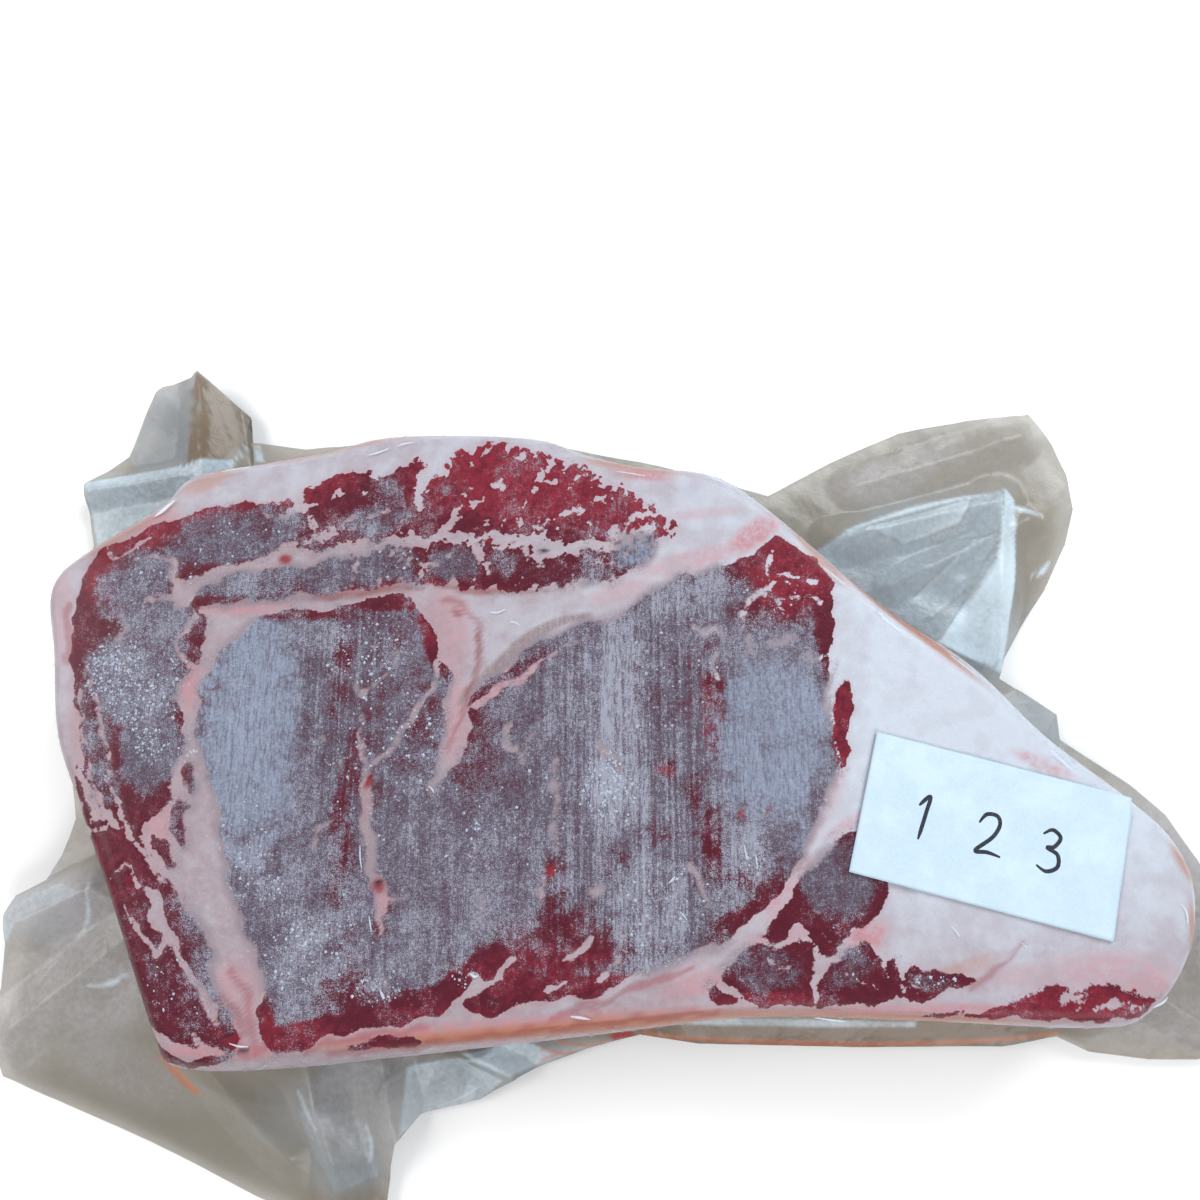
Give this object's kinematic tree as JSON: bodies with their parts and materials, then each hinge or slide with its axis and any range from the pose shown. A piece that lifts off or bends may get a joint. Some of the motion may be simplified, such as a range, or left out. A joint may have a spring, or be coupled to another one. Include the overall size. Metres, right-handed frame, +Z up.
{
  "type": "vacuum-packed raw beef steak",
  "caption": "Thick sawn slab of frozen raw beef with wide fat, in a clear vacuum bag with loose crumpled margins and a plain paper label.",
  "frame": {"origin": "centre of the bag's flat underside, on the surface the pack lies on, below the middle of the whole pack's box", "axes": "+X along the slab's length to its narrow fat end, +Y across the slab to the red cap muscle, +Z up out of the sawn face"},
  "size_m": [0.372, 0.2644, 0.0456],
  "materials": {
    "meat": "frozen raw beef, red muscle and pinkish white fat, dulled by frost",
    "film": "clear glossy plastic film with crumpled creases",
    "label_paper": "matt bluish white paper with plain pen figures"
  },
  "bodies": {
    "root": {"steak": "meat", "bag": "film", "label": "label_paper"}
  },
  "joints": []
}
